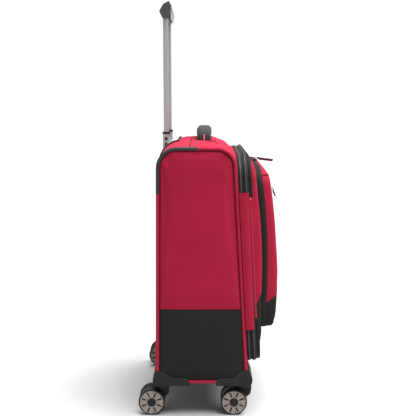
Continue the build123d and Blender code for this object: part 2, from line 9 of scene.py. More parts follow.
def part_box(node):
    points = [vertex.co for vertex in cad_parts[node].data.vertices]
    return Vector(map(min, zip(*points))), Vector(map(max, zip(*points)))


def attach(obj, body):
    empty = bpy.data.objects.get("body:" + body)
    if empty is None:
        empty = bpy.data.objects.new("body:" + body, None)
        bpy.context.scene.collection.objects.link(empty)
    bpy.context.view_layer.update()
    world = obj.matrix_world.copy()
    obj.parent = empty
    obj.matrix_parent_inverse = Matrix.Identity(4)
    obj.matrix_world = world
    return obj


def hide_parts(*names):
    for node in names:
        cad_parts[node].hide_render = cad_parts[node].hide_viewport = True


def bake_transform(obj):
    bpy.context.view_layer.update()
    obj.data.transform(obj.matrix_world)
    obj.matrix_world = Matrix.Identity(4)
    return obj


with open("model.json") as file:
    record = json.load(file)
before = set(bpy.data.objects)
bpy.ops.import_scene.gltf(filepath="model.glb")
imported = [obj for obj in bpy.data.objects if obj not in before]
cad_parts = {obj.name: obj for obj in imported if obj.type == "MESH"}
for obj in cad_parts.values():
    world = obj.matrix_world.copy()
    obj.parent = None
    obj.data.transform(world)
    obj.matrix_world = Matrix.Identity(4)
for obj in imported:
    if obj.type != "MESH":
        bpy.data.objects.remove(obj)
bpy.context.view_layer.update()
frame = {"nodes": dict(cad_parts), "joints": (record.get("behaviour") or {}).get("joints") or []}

# Softside upright suitcase. Lengths are millimetres here and metres in the meshes.
# +Z is up, +Y the back with the pull-out handle, -Y the front with the pocket.
MM = 0.001
SIDES = (("left", -1), ("right", 1))
X, Y, Z = (Vector(axis) for axis in ((1, 0, 0), (0, 1, 0), (0, 0, 1)))
joints = {j["name"]: j for j in frame["joints"]}
OUT = Vector(joints["expansion_slide"]["axis"]).normalized()  # out of the leaning front plane
UP = Vector((0.0, OUT.z, -OUT.y))  # up along that plane
LEAN = OUT.z / -OUT.y

# ---- case ----
HALF_WIDTH = 178.0
CASE_BOTTOM = 70.0
CASE_TOP = 548.0
BACK_TOP_Y = 101.5
BACK_BOTTOM_Y = 106.0
FRONT_FOOT_Y = -85.8
CORNERS = [26.0, 42.0, 40.0, 26.0]  # radii: bottom back, top back, top front, bottom front
PIPING_R = 3.5
BUMPER_R = 3.71
SPLIT_Z = 224.5  # black below, red above
BUMPER_Z = 453.5  # the rubber bumper covers the piping above this height
BUMPER_Y = 21.0  # and behind this place
PANEL_INSET = 6.2  # where the side panel dives under the piping
CLOTH = 2.2  # thickness of a fabric panel with its foam

# ---- front stack: heights up the front plane, depths out of it ----
RING_HALF = 174.0
RING_BOTTOM = 107.0
RING_TOP = 538.0
RING_RADIUS = 50.0
RING = (RING_HALF, RING_BOTTOM, RING_TOP, [RING_RADIUS] * 4)
LID_HALF = 172.0
LID_BOTTOM = 109.0
LID_TOP = 533.0
LID = (LID_HALF, LID_BOTTOM, LID_TOP, [48.0] * 4)
LID_BACK = 18.6
POCKET_HALF = 164.0
POCKET_BOTTOM = 179.0
POCKET_TOP = 506.0
# corner radii: bottom left, bottom right, top right, top left
POCKET = (POCKET_HALF, POCKET_BOTTOM, POCKET_TOP, [22.0, 22.0, 42.0, 42.0])
FLAP_LOW = 183.0
FLAP_HIGH = 459.0
WELT_LOW = 205.0  # the lid's binding is red from here
WELT_HIGH = 448.5  # to here


# ---- materials ----
def plug(tree, node, sockets):
    """Sets a node's inputs, or links them to the output of another node."""
    for key, value in sockets.items():
        if isinstance(value, bpy.types.NodeSocket):
            tree.links.new(value, node.inputs[key])
        else:
            node.inputs[key].default_value = value


class Shader:
    """A principled material with short helpers for its nodes."""

    def __init__(self, name, colour, roughness, metallic=0.0, sheen=0.0, specular=0.5):
        self.material = bpy.data.materials.new(name)
        self.material.use_nodes = True
        self.tree = self.material.node_tree
        self.surface = self.tree.nodes["Principled BSDF"]
        self.colour = colour
        self.place = self.node("ShaderNodeTexCoord").outputs["Object"]
        plug(self.tree, self.surface, {
            "Base Color": (*colour, 1.0), "Roughness": roughness, "Metallic": metallic,
            "Sheen Weight": sheen, "Sheen Roughness": 0.5, "Specular IOR Level": specular,
        })

    def node(self, kind, sockets=None, **settings):
        made = self.tree.nodes.new(kind)
        for key, value in settings.items():
            setattr(made, key, value)
        plug(self.tree, made, sockets or {})
        return made

    def noise(self, scale, detail=4.0, stretch=None):
        """Noise in object space; stretch scales the axes, for a grain with a direction."""
        place = self.place
        if stretch:
            place = self.node("ShaderNodeMapping", {"Scale": stretch, "Vector": place}).outputs["Vector"]
        made = self.node("ShaderNodeTexNoise", {"Scale": scale, "Detail": detail, "Vector": place})
        return made.outputs["Fac"]

    def threads(self, pitch, axes="XYZ", wobble=0.6):
        """Woven threads of the given pitch in metres, the sum of one wave along each axis."""
        scale = pi / (10 * pitch)
        sockets = {"Scale": scale, "Distortion": wobble, "Detail": 1.0, "Vector": self.place}
        total = None
        for axis in axes:
            wave = self.node("ShaderNodeTexWave", sockets, bands_direction=axis).outputs["Fac"]
            total = wave if total is None else self.math("ADD", total, wave)
        return total

    def math(self, operation, first, second):
        return self.node("ShaderNodeMath", {0: first, 1: second}, operation=operation).outputs[0]

    def ramp(self, factor, low, high, start=0.3, stop=0.7):
        made = self.node("ShaderNodeValToRGB", {"Fac": factor})
        for element, place, colour in zip(made.color_ramp.elements, (start, stop), (low, high)):
            element.position = place
            element.color = (*colour, 1.0)
        return made.outputs["Color"]

    def mottle(self, factor, amount, start=0.3, stop=0.7):
        """Varies the base colour by a share either way."""
        low = [c * (1 - amount) for c in self.colour]
        high = [min(1.0, c * (1 + amount)) for c in self.colour]
        plug(self.tree, self.surface, {"Base Color": self.ramp(factor, low, high, start, stop)})

    def rough(self, factor, low, high):
        grey = self.ramp(factor, (low,) * 3, (high,) * 3, 0.2, 0.8)
        plug(self.tree, self.surface, {"Roughness": grey})

    def bump(self, height, distance, strength):
        made = self.node("ShaderNodeBump", {"Distance": distance, "Strength": strength, "Height": height})
        plug(self.tree, self.surface, {"Normal": made.outputs["Normal"]})


def woven(name, colour, pitch, roughness=0.82, sheen=0.03, mottle=0.12, relief=0.00013):
    """Plain woven polyester: threads, slubs and slow changes of shade."""
    s = Shader(name, colour, roughness, sheen=sheen, specular=0.12)
    slubs = s.noise(420.0, 3.0)
    clouds = s.noise(9.0, 3.0)
    mixed = s.math("ADD", s.math("MULTIPLY", slubs, 0.45), s.math("MULTIPLY", clouds, 0.55))
    s.mottle(mixed, mottle)
    s.rough(slubs, roughness - 0.07, min(1.0, roughness + 0.08))
    s.bump(s.math("ADD", s.threads(pitch), s.math("MULTIPLY", slubs, 0.8)), relief, 0.6)
    return s.material


def moulded(name, colour, roughness=0.5, grain=900.0, relief=0.00008, mottle=0.12):
    """Moulded plastic with a fine spark-eroded texture and scuffs."""
    s = Shader(name, colour, roughness, specular=0.3)
    fine = s.noise(grain, 2.0)
    scuffs = s.noise(45.0, 6.0, (1.0, 3.0, 1.0))
    s.mottle(scuffs, mottle)
    s.rough(scuffs, roughness - 0.1, roughness + 0.14)
    s.bump(fine, relief, 0.5)
    return s.material


def brushed(name, colour, roughness=0.34, stretch=(60.0, 60.0, 1.0), metallic=1.0):
    """Drawn metal with a grain along Z unless stretch says otherwise."""
    s = Shader(name, colour, roughness, metallic=metallic)
    lines = s.noise(26.0, 4.0, stretch)
    s.mottle(lines, 0.09)
    s.rough(lines, roughness - 0.07, roughness + 0.12)
    s.bump(lines, 0.00003, 0.35)
    return s.material


def ribbed(name, colour, pitch, axes, roughness, relief, mottle=0.16):
    """Webbing, coil or tape with ribs across its length."""
    s = Shader(name, colour, roughness, sheen=0.02, specular=0.25)
    ribs = s.threads(pitch, axes, 0.25)
    s.mottle(s.math("MULTIPLY", ribs, 1.0 / len(axes)), mottle, 0.15, 0.85)
    s.rough(s.noise(200.0), roughness - 0.06, roughness + 0.1)
    s.bump(ribs, relief, 0.7)
    return s.material


def hub_metal(name, colour):
    """A hub face brushed outwards from the axle, in the wheel's own space."""
    s = Shader(name, colour, 0.42, metallic=0.35)
    parts = s.node("ShaderNodeSeparateXYZ", {"Vector": s.place}).outputs
    turns = s.math("MULTIPLY", s.math("ARCTAN2", parts["Z"], parts["Y"]), 11.0)
    sockets = {"Scale": 1.0, "Detail": 5.0, "W": turns}
    rays = s.node("ShaderNodeTexNoise", sockets, noise_dimensions="1D").outputs["Fac"]
    s.mottle(rays, 0.5, 0.36, 0.64)
    s.rough(rays, 0.34, 0.58)
    s.bump(rays, 0.00008, 0.4)
    return s.material


M = {
    "red": woven("red_weave", (0.283, 0.0078, 0.0292), 0.0011),
    "red_trim": woven("red_trim_weave", (0.325, 0.0105, 0.0345), 0.0008, mottle=0.08),
    # painted shade: dark maroon cloth for cords laid along seams, standing in for the shadow in deep seams
    "seam": woven("seam_shadow_weave", (0.075, 0.006, 0.012), 0.0008, sheen=0.0),
    "black": woven("black_weave", (0.0138, 0.0128, 0.0122), 0.0011, sheen=0.02, mottle=0.16),
    "tape": woven("zip_tape_weave", (0.0145, 0.0136, 0.0128), 0.0007, 0.62, 0.05, 0.24, 0.00018),
    "strip": woven("pocket_strip_weave", (0.0148, 0.0138, 0.0132), 0.0007, 0.72, 0.02, 0.12, 0.00016),
    "lining": woven("lining_weave", (0.16, 0.155, 0.15), 0.0006, 0.6, 0.05, 0.08, 0.0001),
    "coil": ribbed("zip_coil", (0.07, 0.067, 0.063), 0.0016, "YZ", 0.38, 0.0004),
    "webbing": ribbed("handle_webbing", (0.026, 0.0235, 0.0215), 0.0019, "YX", 0.78, 0.00035),
    "edging": ribbed("webbing_edge", (0.075, 0.066, 0.06), 0.0014, "XZ", 0.7, 0.0002),
    "rubber": moulded("bumper_rubber", (0.0215, 0.021, 0.0205), 0.62, 700.0, 0.0001),
    "plastic": moulded("guard_plastic", (0.0066, 0.0061, 0.0059), 0.58),
    "gloss": moulded("grip_plastic", (0.05, 0.0485, 0.047), 0.4, 500.0, 0.00004),
    "tyre": moulded("tyre_urethane", (0.0105, 0.0102, 0.01), 0.55, 400.0, 0.0001),
    "board": moulded("frame_board", (0.05, 0.05, 0.05), 0.6),
    "tube": brushed("drawn_aluminium", (0.385, 0.37, 0.36), 0.4, metallic=0.7),
    "silver": brushed("silver_plastic", (0.42, 0.415, 0.41), 0.36, (1.0, 60.0, 60.0), 0.5),
    "pale": moulded("pale_plastic", (0.36, 0.35, 0.35), 0.4, 500.0, 0.00004, 0.05),
    "steel": brushed("satin_steel", (0.4, 0.4, 0.41), 0.3),
    "dark_metal": moulded("black_zip_metal", (0.018, 0.018, 0.018), 0.32, 600.0, 0.00003),
    "hub": hub_metal("hub_metal", (0.252, 0.217, 0.190)),
    "thread_red": ribbed("thread_red", (0.78, 0.09, 0.16), 0.0009, "YZ", 0.6, 0.0001),
    "floor": moulded("pale_floor", (0.37, 0.37, 0.37), 0.8, 30.0, 0.00001, 0.01),
}


# ---- mesh helpers ----
CREASE = 38.0  # edges that turn by more degrees than this stay sharp


def make(name, points, faces, looks, body="", stands_for="", crease=CREASE, face_looks=None):
    """A mesh piece from points in millimetres, with its looks, body and the node it replaces."""
    mesh = bpy.data.meshes.new(name)
    mesh.from_pydata([Vector(p) * MM for p in points], [], faces)
    looks = looks.split()
    for look in looks:
        mesh.materials.append(M[look])
    if face_looks:
        mesh.polygons.foreach_set("material_index", face_looks)
    cleaned = bmesh.new()
    cleaned.from_mesh(mesh)
    bmesh.ops.recalc_face_normals(cleaned, faces=cleaned.faces)
    cleaned.to_mesh(mesh)
    cleaned.free()
    smooth(mesh, crease)
    piece = bpy.data.objects.new(name, mesh)
    bpy.context.scene.collection.objects.link(piece)
    if body:
        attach(piece, body)
    if stands_for:
        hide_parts(stands_for)
    return piece


def smooth(mesh, crease):
    mesh.polygons.foreach_set("use_smooth", [True] * len(mesh.polygons))
    mesh.set_sharp_from_angle(angle=radians(crease))


def quads(rows, columns, wrap_rows=False, wrap_columns=False):
    """Faces of a grid stored row by row."""
    faces = []
    for r in range(rows if wrap_rows else rows - 1):
        for c in range(columns if wrap_columns else columns - 1):
            r2 = (r + 1) % rows
            c2 = (c + 1) % columns
            faces.append((r * columns + c, r * columns + c2, r2 * columns + c2, r2 * columns + c))
    return faces


def slab(name, grid, thickness, look, **extra):
    """A closed cloth from a grid of points: its face, an inner face behind it and a rim."""
    rows, columns = len(grid), len(grid[0])
    face = [Vector(p) for row in grid for p in row]
    back = []
    for r in range(rows):
        for c in range(columns):
            along = grid[min(r + 1, rows - 1)][c] - grid[max(r - 1, 0)][c]
            across = grid[r][min(c + 1, columns - 1)] - grid[r][max(c - 1, 0)]
            back.append(grid[r][c] - across.cross(along).normalized() * thickness)
    count = rows * columns
    faces = quads(rows, columns)
    faces += [tuple(i + count for i in reversed(f)) for f in faces]
    rim = list(range(columns))
    rim += [r * columns + columns - 1 for r in range(1, rows)]
    rim += [(rows - 1) * columns + c for c in range(columns - 2, -1, -1)]
    rim += [r * columns for r in range(rows - 2, 0, -1)]
    faces += [(a, b, b + count, a + count) for a, b in zip(rim, rim[1:] + rim[:1])]
    return make(name, face + back, faces, look, **extra)


def sweep(name, path, profile, look, closed_path=True, **extra):
    """A closed profile of (side, out) carried along a path of (point, side axis, out axis)."""
    points = []
    for i, (point, side, out) in enumerate(path):
        section = profile(i, path[i]) if callable(profile) else profile
        points += [point + side * a + out * b for a, b in section]
    size = len(points) // len(path)
    faces = quads(len(path), size, closed_path, True)
    if not closed_path:
        faces += [tuple(range(size)), tuple(range(len(points) - size, len(points)))]
    return make(name, points, faces, look, **extra)


def ring_of(radius, count=14, squash=1.0, at=(0.0, 0.0)):
    """A round profile."""
    steps = [2 * pi * k / count for k in range(count)]
    return [(at[0] + radius * cos(a), at[1] + squash * radius * sin(a)) for a in steps]


def rounded_path(corners, radii, step=5.0):
    """Points and outward normals round a convex outline with rounded corners, in its own plane."""
    arcs = []
    for i, corner in enumerate(corners):
        here = Vector(corner)
        before = (Vector(corners[i - 1]) - here).normalized()
        after = (Vector(corners[(i + 1) % len(corners)]) - here).normalized()
        half = before.angle(after) / 2
        centre = here + (before + after).normalized() * (radii[i] / sin(half))
        first = here + before * (radii[i] / tan(half)) - centre
        last = here + after * (radii[i] / tan(half)) - centre
        begin = atan2(first.y, first.x)
        turn = (atan2(last.y, last.x) - begin + pi) % (2 * pi) - pi
        count = max(8, int(abs(turn) * radii[i] / (step * 0.6)))
        arc = []
        for k in range(count + 1):
            angle = begin + turn * k / count
            normal = Vector((cos(angle), sin(angle)))
            arc.append((centre + normal * radii[i], normal))
        arcs.append(arc)
    path = []
    for i, arc in enumerate(arcs):
        path += arc
        (start, normal), (end, _) = arc[-1], arcs[(i + 1) % len(arcs)][0]
        pieces = max(2, int((end - start).length / step))
        path += [(start.lerp(end, k / pieces), normal) for k in range(1, pieces)]
    return path


def front(x, out, up):
    """A point by its width, its distance out of the front plane and its height along it."""
    return Vector((x, FRONT_FOOT_Y, 0.0)) + OUT * out + UP * up


def front_path(half, bottom, top, radii, step=5.0):
    """The path round a rounded rectangle in the front plane, anticlockwise seen from the front."""
    corners = [(-half, bottom), (half, bottom), (half, top), (-half, top)]
    flat = rounded_path(corners, radii, step)
    return [(front(p.x, 0.0, p.y), X * n.x + UP * n.y, OUT) for p, n in flat]


def height_of(point):
    """Height along the front plane of a point that lies on it."""
    return (point - Vector((0.0, FRONT_FOOT_Y, 0.0))).dot(UP)


def front_y(z):
    return FRONT_FOOT_Y + z * LEAN


def back_y(z):
    return BACK_BOTTOM_Y + (z - CASE_BOTTOM) / (CASE_TOP - CASE_BOTTOM) * (BACK_TOP_Y - BACK_BOTTOM_Y)


def side_path(inset, step=5.0):
    """The case's outline in (Y, Z): bottom back, top back, top front, bottom front."""
    low = CASE_BOTTOM + inset
    high = CASE_TOP - inset
    corners = [
        (back_y(low) - inset, low),
        (back_y(high) - inset, high),
        (front_y(high) + inset, high),
        (front_y(low) + inset, low),
    ]
    return rounded_path(corners, [max(r - inset, 3.0) for r in CORNERS], step)


def ease(t):
    """A smooth step from 0 to 1."""
    t = min(1.0, max(0.0, t))
    return t * t * (3 - 2 * t)


def bell(at, middle, width):
    """A smooth bump of height 1, for a seam or groove."""
    return exp(-(((at - middle) / width) ** 2))


def curve_through(points, at):
    """A smooth height read off a few (place, height) points."""
    if at <= points[0][0]:
        return points[0][1]
    for (a, low), (b, high) in zip(points, points[1:]):
        if at <= b:
            t = (at - a) / (b - a)
            return low + (high - low) * (t + ease(t)) / 2
    return points[-1][1]


def part_of(path, kept, extra=0):
    """The run of a closed path where kept is true, with extra stations at either end."""
    first = next((i for i in range(len(path)) if kept[i] and not kept[i - 1]), 0)
    return [path[(first - extra + k) % len(path)] for k in range(sum(kept) + 2 * extra)]


def length_of(path):
    return sum((b[0] - a[0]).length for a, b in zip(path, path[1:]))


def ripple(point, size, amount):
    """Soft unevenness of cloth, the same each run."""
    return noise.noise(Vector(point) / size) * amount


def spread(low, high, count, crowd=0.0):
    """Places from low to high, crowded towards both ends."""
    places = []
    for k in range(count + 1):
        t = k / count
        s = (1 - cos(pi * t)) / 2
        places.append(low + (high - low) * (t * (1 - crowd) + s * crowd))
    return places


def corner_inset(v, low, high, radius_low, radius_high):
    """How far a rounded outline draws in at height v."""
    for radius, past in ((radius_low, low + radius_low - v), (radius_high, v - high + radius_high)):
        if past > 0.0:
            return radius - sqrt(max(0.0, radius**2 - past**2))
    return 0.0


def edge_distance(u, v, left, right, low, high, radii):
    """Distance in from a rounded outline; radii: low left, low right, high right, high left."""
    to_left, to_right, to_low, to_high = u - left, right - u, v - low, high - v
    found = min(to_left, to_right, to_low, to_high)
    pairs = ((to_left, to_low), (to_right, to_low), (to_right, to_high), (to_left, to_high))
    for (a, b), radius in zip(pairs, radii):
        if a < radius and b < radius:
            found = min(found, radius - hypot(radius - a, radius - b))
    return max(0.0, found)


def face_grid(left, right, low, high, radii, columns, rows, place, crowd=0.75):
    """A grid over a rounded outline; place(u, v, edge distance) gives each point."""
    grid = []
    for v in spread(low, high, rows, crowd):
        a = left(v) + corner_inset(v, low, high, radii[0], radii[3])
        b = right(v) - corner_inset(v, low, high, radii[1], radii[2])
        across = spread(a, b, columns, crowd)
        grid.append([place(u, v, edge_distance(u, v, left(v), right(v), low, high, radii)) for u in across])
    return grid


def front_grid(outline, inset, columns, rows, place, crowd):
    """A grid over one of the rounded rectangles in the front plane, drawn in by inset."""
    half, low, high, radii = outline
    edge = half - inset
    return face_grid(
        lambda v: -edge, lambda v: edge, low + inset, high - inset, [r - inset for r in radii],
        columns, rows, place, crowd,
    )


def cut(piece, point, normal, keep_above):
    """Keeps one side of a plane given in millimetres, and closes the cut."""
    mesh = bmesh.new()
    mesh.from_mesh(piece.data)
    result = bmesh.ops.bisect_plane(
        mesh, geom=mesh.verts[:] + mesh.edges[:] + mesh.faces[:], plane_co=point * MM, plane_no=normal,
        clear_inner=keep_above, clear_outer=not keep_above,
    )
    rim = [e for e in result["geom_cut"] if isinstance(e, bmesh.types.BMEdge)]
    bmesh.ops.holes_fill(mesh, edges=rim, sides=0)
    bmesh.ops.recalc_face_normals(mesh, faces=mesh.faces)
    mesh.to_mesh(piece.data)
    mesh.free()
    smooth(piece.data, CREASE)


def two_parts(grid, thickness, names, point, normal, body, gap=0.0):
    """A padded shell as two (piece, node) parts, red above the seam plane and black below it."""
    for (name, node), look, sign in zip(names, ("red", "black"), (1, -1)):
        piece = slab(name, grid, thickness, look, stands_for=node)
        cut(piece, point + normal * gap * sign, normal, sign > 0)
        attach(piece, body)


CLOTH_FRAMES = 18


def settle(grid, pressure, cap, seams=lambda point: 0.0):
    """Blows a sheet of cloth out along its normals, sewn down at its edge and along any seams."""
    scene = bpy.context.scene
    rows, columns = len(grid), len(grid[0])
    rest = [p for row in grid for p in row]
    mesh = bpy.data.meshes.new("settling")
    mesh.from_pydata([p * MM for p in rest], [], quads(rows, columns))
    piece = bpy.data.objects.new("settling", mesh)
    scene.collection.objects.link(piece)
    sewn = piece.vertex_groups.new(name="sewn")
    for i, place in enumerate(rest):
        r, c = divmod(i, columns)
        rim = r in (0, rows - 1) or c in (0, columns - 1)
        weight = 1.0 if rim else seams(place)
        if weight > 0.01:
            sewn.add([i], weight, "REPLACE")
    cloth = piece.modifiers.new("Cloth", "CLOTH")
    for key, value in (
        ("quality", 6), ("mass", 0.3), ("tension_stiffness", 14.0), ("compression_stiffness", 9.0),
        ("bending_stiffness", 0.2), ("use_pressure", True), ("uniform_pressure_force", pressure),
        ("vertex_group_mass", sewn.name),
    ):
        setattr(cloth.settings, key, value)
    cloth.settings.effector_weights.gravity = 0.0
    cloth.collision_settings.use_collision = False
    cloth.point_cache.frame_start = 1
    cloth.point_cache.frame_end = CLOTH_FRAMES
    for f in range(1, CLOTH_FRAMES + 1):
        scene.frame_set(f)
    posed = piece.evaluated_get(bpy.context.evaluated_depsgraph_get()).data
    shifts = [v.co / MM - place for v, place in zip(posed.vertices, rest)]
    scene.frame_set(1)
    bpy.data.objects.remove(piece)
    bpy.data.meshes.remove(mesh)
    settled = [p + shift * min(1.0, cap / max(shift.length, 1e-9)) for p, shift in zip(rest, shifts)]
    return [settled[r * columns:(r + 1) * columns] for r in range(rows)]


# ---- case fabric ----
def side_panel(side, s):
    """A padded side: it dives under the piping, then swells gently towards the middle."""
    low = CASE_BOTTOM + PANEL_INSET
    high = CASE_TOP - PANEL_INSET
    radii = [CORNERS[i] - PANEL_INSET for i in (3, 0, 1, 2)]

    def place(y, z, d):
        tuck = -4.4 * (1 - ease(d / 3.4))
        swell = 1.3 * ease(d / 46.0)
        seam = -0.9 * bell(z, SPLIT_Z, 1.3)
        wave = ripple((y, z, 9.0 * s), 70.0, 0.7) * ease(d / 20.0)
        return Vector((s * (HALF_WIDTH - 1.0 + tuck + swell + seam + wave), y, z))

    grid = face_grid(
        lambda z: front_y(z) + PANEL_INSET, lambda z: back_y(z) - PANEL_INSET,
        low, high, radii, 44, 96, place, 0.5,
    )
    grid = [row[::s] for row in grid]
    grid = settle(grid, pressure=1.2, cap=1.6, seams=lambda p: bell(p.z, SPLIT_Z, 3.0))
    names = [(f"Side_{part}_{side}", f"side_{part}_{side}") for part in ("panel", "base")]
    two_parts(grid, CLOTH, names, Z * SPLIT_Z, Z, "case", gap=0.25)


CREST = [  # (Y, height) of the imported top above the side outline, along its middle
    (-62.0, 0.5), (-54.0, 2.6), (-40.0, 4.8), (-26.0, 5.9), (-7.0, 9.4), (23.0, 13.0),
    (42.0, 12.2), (60.0, 8.6), (85.0, 5.0), (100.0, 0.0),
]


def rise(x, y, z=CASE_TOP):
    """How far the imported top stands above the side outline."""
    if z < 470.0:
        return 0.0
    return curve_through(CREST, y) * (1 - (x / HALF_WIDTH) ** 2)


def top_wave(x, y, z=CASE_TOP):
    return ripple((x, y, z), 60.0, 0.8)


def wrap(name, look, node, chosen, seam=None, extra=0):
    """The cloth that runs round the case over the top, back or bottom, between the side pipings."""
    path = side_path(0.0, step=4.0)
    run = part_of(path, [chosen(p) for p, n in path], extra)
    edge = HALF_WIDTH - 2 * PIPING_R + 0.8
    grid = []
    for x in spread(-edge, edge, 56, 0.35):
        to_edge = edge - abs(x)
        row = []
        for p, n in run:
            tuck = -3.0 * (1 - ease(to_edge / 3.2))
            groove = -1.5 * bell(p.x, seam, 1.3) if seam else 0.0
            wave = top_wave(x, p.x, p.y) * ease(to_edge / 18.0)
            q = p + n * (tuck + groove + wave - 0.4)
            row.append(Vector((x, q.x, q.y + rise(x, p.x, p.y))))
        grid.append(row)
    if seam:
        grid = settle(grid, pressure=0.8, cap=1.5, seams=lambda p: bell(p.y, seam, 2.5))
    piece = slab(name, grid, CLOTH, look, body="case", stands_for=node)
    length_of(run) * MM


for side, s in SIDES:
    side_panel(side, s)

TOP_FROM = 500.0
BASE_TO = 98.0
TOP_SEAM_Y = 35.0
wrap("Top_fabric", "red", "top_panel", lambda p: p.y > TOP_FROM, seam=TOP_SEAM_Y)
wrap("Back_fabric", "red", "back_panel", lambda p: p.x > 30 and BASE_TO <= p.y <= TOP_FROM, extra=1)
wrap(
    "Bottom_fabric", "black", "bottom_panel",
    lambda p: p.y < BASE_TO or (p.x < 0 and p.y < RING_BOTTOM + 4.0),
)


def front_corner(side, s):
    """The front wall outside the rounded lower corner of the opening."""
    centre_x, centre_up = RING_HALF - RING_RADIUS, RING_BOTTOM + RING_RADIUS
    reach_x, reach_up = HALF_WIDTH - 2 * PIPING_R + 0.6 - centre_x, centre_up - BASE_TO - 2.0
    inner = RING_RADIUS - 4.5
    grid = []
    for degrees in range(0, 95, 5):
        across, down = sin(radians(degrees)), cos(radians(degrees))
        outer = min(reach_x / max(across, 1e-6), reach_up / max(down, 1e-6))
        radii = [inner + (outer - inner) * k / 5 for k in range(6)]
        grid.append([front(s * (centre_x + r * across), -0.5, centre_up - r * down) for r in radii][::s])
    piece = slab(f"Front_corner_{side}", grid, 1.6, "black", body="case")


for side, s in SIDES:
    front_corner(side, s)


def piping(side, s):
    """The welt along a side edge, and the thicker rubber bumper over its top back corner."""
    path = side_path(PIPING_R)
    middle = s * (HALF_WIDTH - PIPING_R)
    at = [(Vector((middle, p.x, p.y)), Vector((0, n.x, n.y)), X * s) for p, n in path]
    rubber = [p.x > BUMPER_Y and p.y > BUMPER_Z for p, n in path]
    bumper = part_of(at, rubber)
    welt = part_of(at, [not r for r in rubber])
    sweep(
        f"Piping_{side}", welt + bumper[:1], ring_of(PIPING_R, 16), "red_trim", False,
        body="case", stands_for="piping",
    )
    sweep(
        f"Bumper_{side}", bumper + welt[:1], ring_of(BUMPER_R, 16), "rubber", False,
        body="case", stands_for="corner_bumpers",
    )


def seam_shadow_line(side, s):
    """A dark cord in the seam between the piping and the side panel, painted shade for the shadow in that
    seam.
    """
    x = s * (HALF_WIDTH - 2.3)
    path = [(Vector((x, p.x, p.y)), Vector((0, n.x, n.y)), X * s) for p, n in side_path(2 * PIPING_R - 0.3)]
    sweep(f"Side_seam_shadow_{side}", path, ring_of(1.05, 8), "seam", body="case")


for side, s in SIDES:
    piping(side, s)
    seam_shadow_line(side, s)


# ---- zips and expansion gusset ----
# (out, sag) at the middle of the top
STACK_SAG = [(-13.0, 0.0), (-6.0, 1.8), (0.0, 5.0), (8.0, 6.4), (14.0, 5.6), (20.0, 3.4)]
HINGE_GAP = 116.0  # half the length at the foot where the lid's hinge cloth takes over from its zip


def top_drop(out, side):
    """How far the zip stack sags along its top, most at its back where it meets the case."""
    return curve_through(STACK_SAG, out) * max(0.0, side.dot(UP)) ** 2


def ring_path(step, gap=-1.0):
    """The zip's ring, left open for gap either side of the middle of its foot."""
    path = front_path(*RING, step)
    return part_of(path, [height_of(p) > RING_BOTTOM + 1.0 or abs(p.x) > gap for p, a, b in path])


def tape(name, low, high, rise_low, rise_high, body, node="", gap=-1.0):
    """Half of a puckered zip roll, from low to high out of the front plane."""
    shares = [k / 6 for k in range(7)]
    floor = -2.6

    def section(i, station):
        point, side, out = station
        pucker = 0.6 * sin(i * 2.4) * sin(i * 0.61) + ripple(point, 16.0, 0.9)
        shape = []
        for u in shares:
            swell = sin(u * pi / 2) if rise_high > rise_low else cos(u * pi / 2)
            lift = min(rise_low, rise_high) + abs(rise_high - rise_low) * swell
            place = low + (high - low) * u
            shape.append((lift + pucker * 0.5 - top_drop(place, side), place))
        sunk = floor - top_drop((low + high) / 2, side)
        return shape + [(sunk, high), (sunk, low)]

    sweep(name, ring_path(3.0, gap), section, "tape", gap < 0, body=body, stands_for=node, crease=50.0)


def coil(name, out, side, body, gap=-1.0):
    """The nylon coil of a zip as a thin ribbed cord round the ring."""

    def section(i, station):
        rib = 0.12 if i % 2 else -0.12
        return ring_of(0.85 + rib, 8, at=(side - top_drop(out, station[1]), out))

    sweep(name, ring_path(1.6, gap), section, "coil", gap < 0, body=body)


def sagging(shape):
    """A profile that follows the sag of the zip stack."""
    return lambda i, station: [(a - top_drop(b, station[1]), b) for a, b in shape]


def front_rim():
    """The band of red cloth that joins the case's rounded front edge to the back of the zip."""
    band = [(-4.6, -13.0), (-2.2, -13.0), (-0.6, -5.0), (-0.2, 0.5), (-2.6, 0.5)]
    line = ring_of(0.9, 8, at=(0.8, 0.1))
    sweep("Front_rim", ring_path(5.0), sagging(band), "red", body="case")
    # painted shade: a dark cord along the back of the zip stack, standing in for the shadow in that seam
    sweep("Front_seam_shadow", ring_path(5.0), sagging(line), "seam", body="case")


front_rim()
# each tape: from, to, height there and there; each coil: out of the plane, height
tape("Expansion_tape_fixed", 0.6, 5.1, 0.4, 2.6, "case", "expansion_zip")
tape("Expansion_tape_moving", 5.5, 10.4, 2.6, 0.5, "expander", "expansion_gusset")
tape("Main_tape_inner", 10.7, 15.2, 0.5, 2.8, "expander", gap=HINGE_GAP)
tape("Main_tape_lid", 15.6, 20.4, 2.8, 0.6, "lid", gap=HINGE_GAP)
coil("Expansion_coil", 5.3, 2.5, "expander")
coil("Main_coil", 15.4, 2.7, "lid", gap=HINGE_GAP)


def folded_gusset():
    """The folded cloth that the expansion zip hides."""
    inset, folds = 2.0, 12
    path = front_path(
        RING_HALF - inset, RING_BOTTOM + inset, RING_TOP - inset, [RING_RADIUS - inset] * 4, 6.0,
    )
    outer = [(-1.4 - 0.7 * (k % 2), 4.4 + 1.9 * k / folds) for k in range(folds + 1)]
    inner = [(a - 0.9, b) for a, b in reversed(outer)]
    piece = sweep("Expansion_gusset_cloth", path, sagging(outer + inner), "black")
    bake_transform(piece)


folded_gusset()


